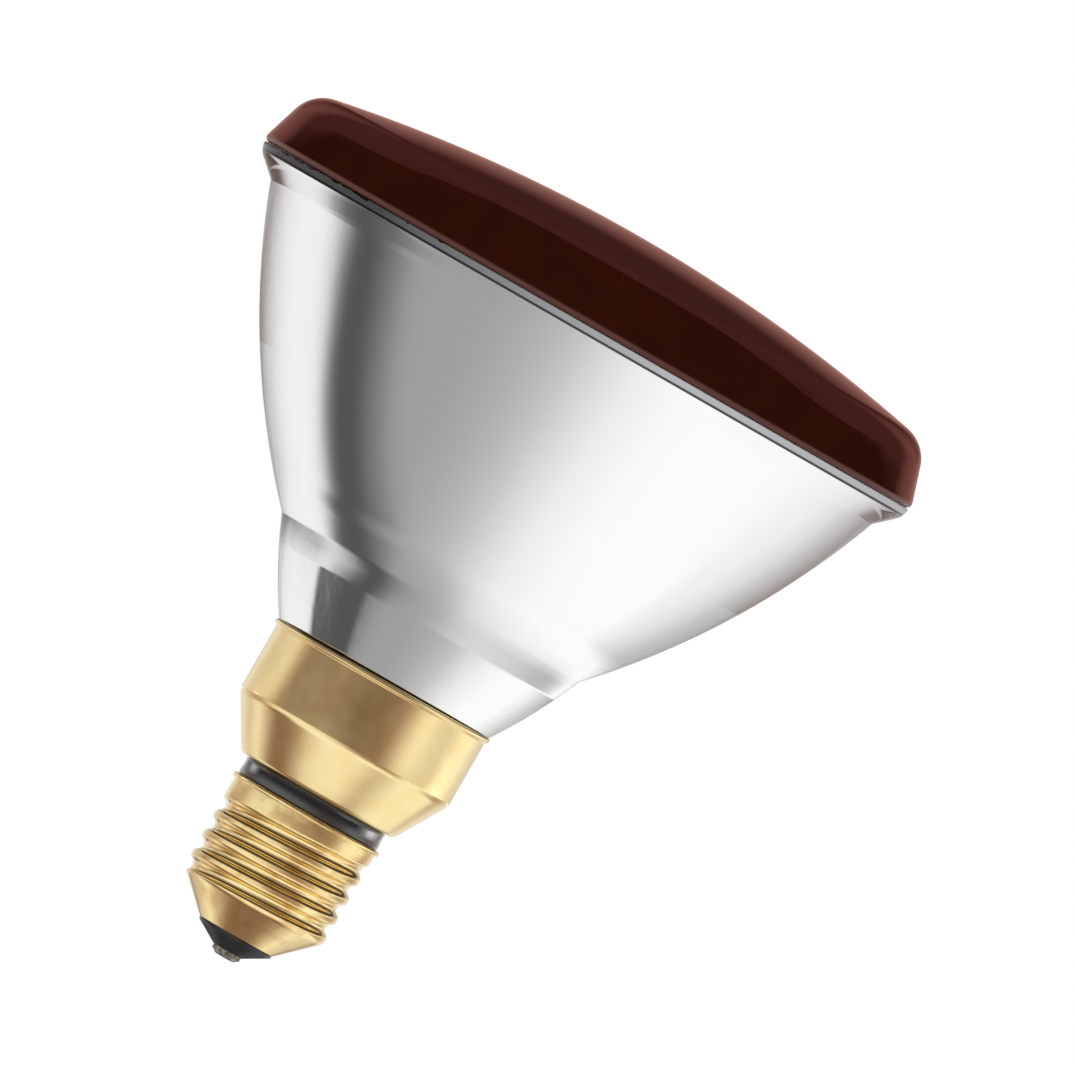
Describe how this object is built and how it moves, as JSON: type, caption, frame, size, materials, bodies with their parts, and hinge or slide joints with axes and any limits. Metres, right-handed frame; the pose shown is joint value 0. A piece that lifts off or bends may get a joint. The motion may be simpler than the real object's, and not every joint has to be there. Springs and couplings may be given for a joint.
{
  "type": "infrared heat lamp bulb",
  "caption": "Infrared reflector lamp: a flared aluminised glass bowl closed by a domed red front glass, on a skirted brass screw cap that turns into a lampholder.",
  "frame": {"origin": "tip of the centre contact, on the lamp's axis", "axes": "+Z along the lamp's axis from the screw cap to the front glass, +X along the filament, -Y towards the viewer of the picture"},
  "size_m": [0.121, 0.121, 0.1356],
  "materials": {
    "red_front_glass": "gloss, deep red pressed glass",
    "aluminised_glass": "gloss, pressed glass with an aluminium film on the inside",
    "shell_brass": "polished, slightly worn",
    "skirt_brass": "satin",
    "ring_moulding": "gloss black moulding",
    "cap_glass": "black insulating glass",
    "contact_brass": "dull",
    "solder": "worn solder",
    "clear_glass": "clear glass",
    "nickel": "dull nickel",
    "tungsten": "dull tungsten"
  },
  "bodies": {
    "root": {"centre_solder": "solder", "centre_contact": "contact_brass", "base_insulator": "cap_glass", "screw_shell": "shell_brass", "insulating_ring": "ring_moulding", "skirt_collar": "skirt_brass", "reflector": "aluminised_glass", "front_lens": "red_front_glass", "exhaust_tube": "clear_glass", "ferrule_centre": "nickel", "ferrule_shell": "nickel", "lead_post_centre": "nickel", "lead_post_shell": "nickel", "filament": "tungsten", "bridge_bead": "clear_glass", "filament_anchor": "tungsten", "lead_wire_centre": "nickel", "lead_wire_shell": "nickel", "side_solder": "solder"}
  },
  "joints": []
}
